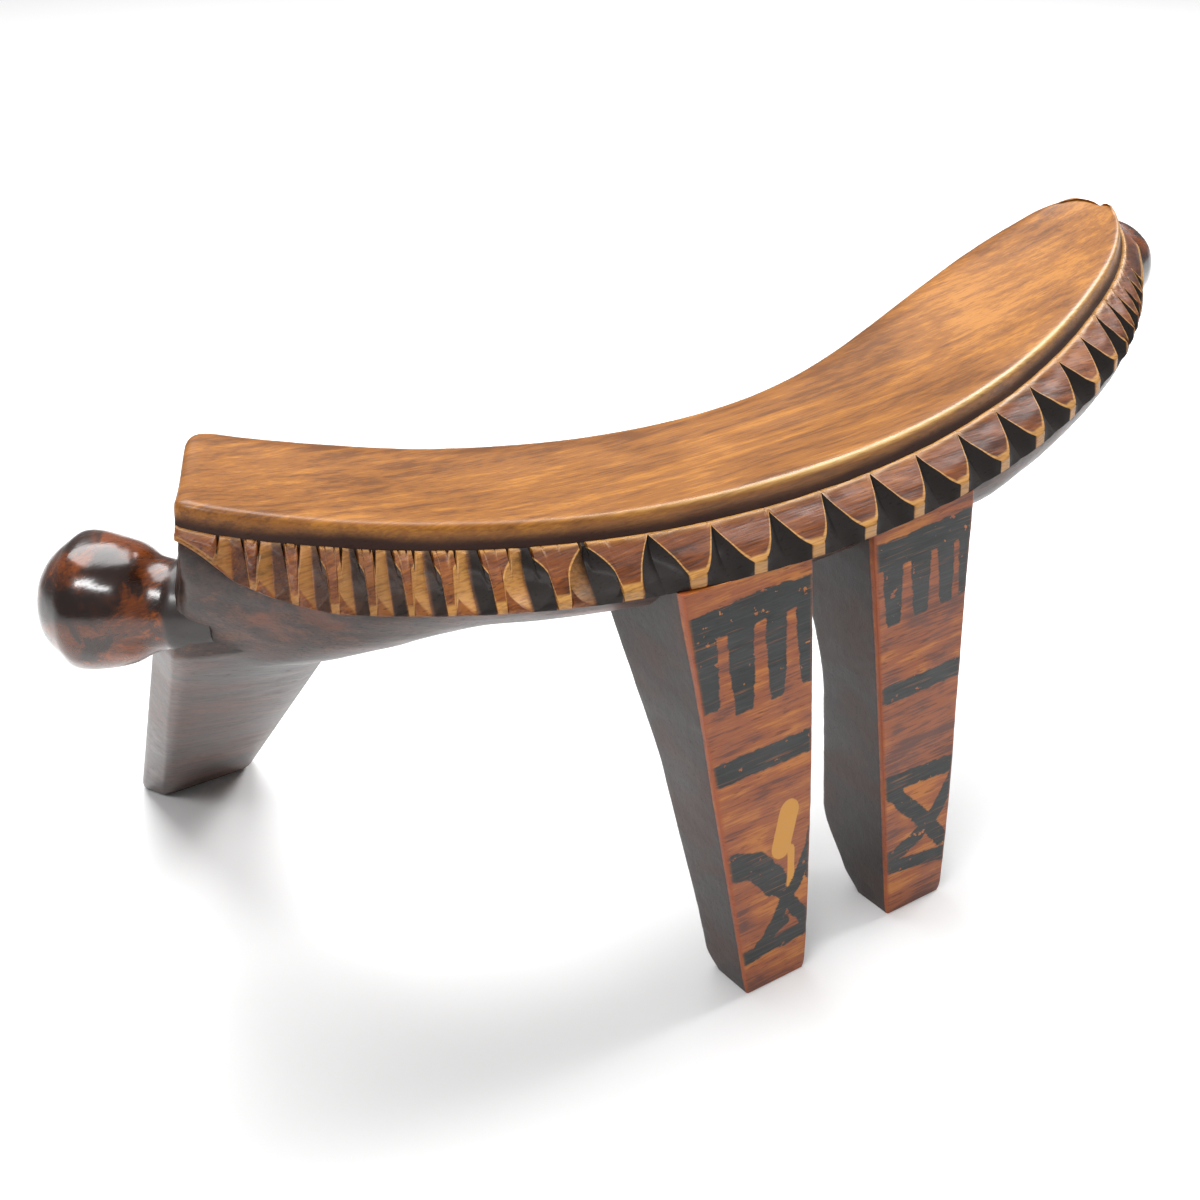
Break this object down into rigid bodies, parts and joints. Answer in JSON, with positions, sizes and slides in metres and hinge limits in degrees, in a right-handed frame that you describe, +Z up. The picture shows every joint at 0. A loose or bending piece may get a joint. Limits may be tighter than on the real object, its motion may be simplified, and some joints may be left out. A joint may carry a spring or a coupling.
{
  "type": "carved wooden headrest",
  "caption": "Carved wooden headrest: a crescent saddle seat with a notched front ledge, on tapering front legs and a raked rear leg, with rounded end knobs.",
  "frame": {"origin": "on the floor, under the middle of the whole outline seen from above", "axes": "+X along the seat towards the plain cantilevered end, -Y towards the notched front edge, +Z up"},
  "size_m": [0.4434, 0.236, 0.1799],
  "materials": {
    "waxed_wood": "waxed and worn smooth, golden brown",
    "dark_wood": "dark glossy patina with red-brown edges",
    "painted_wood": "orange-brown front face with hand-painted black pattern, dark sides",
    "knob_wood": "polished dark knob, orange where worn"
  },
  "bodies": {
    "root": {"seat_pad": "waxed_wood", "toothed_rim": "waxed_wood", "body_beam": "dark_wood", "front_leg_left": "painted_wood", "front_leg_right": "painted_wood", "rear_leg": "dark_wood", "left_knob": "knob_wood", "right_knob": "knob_wood"}
  },
  "joints": []
}
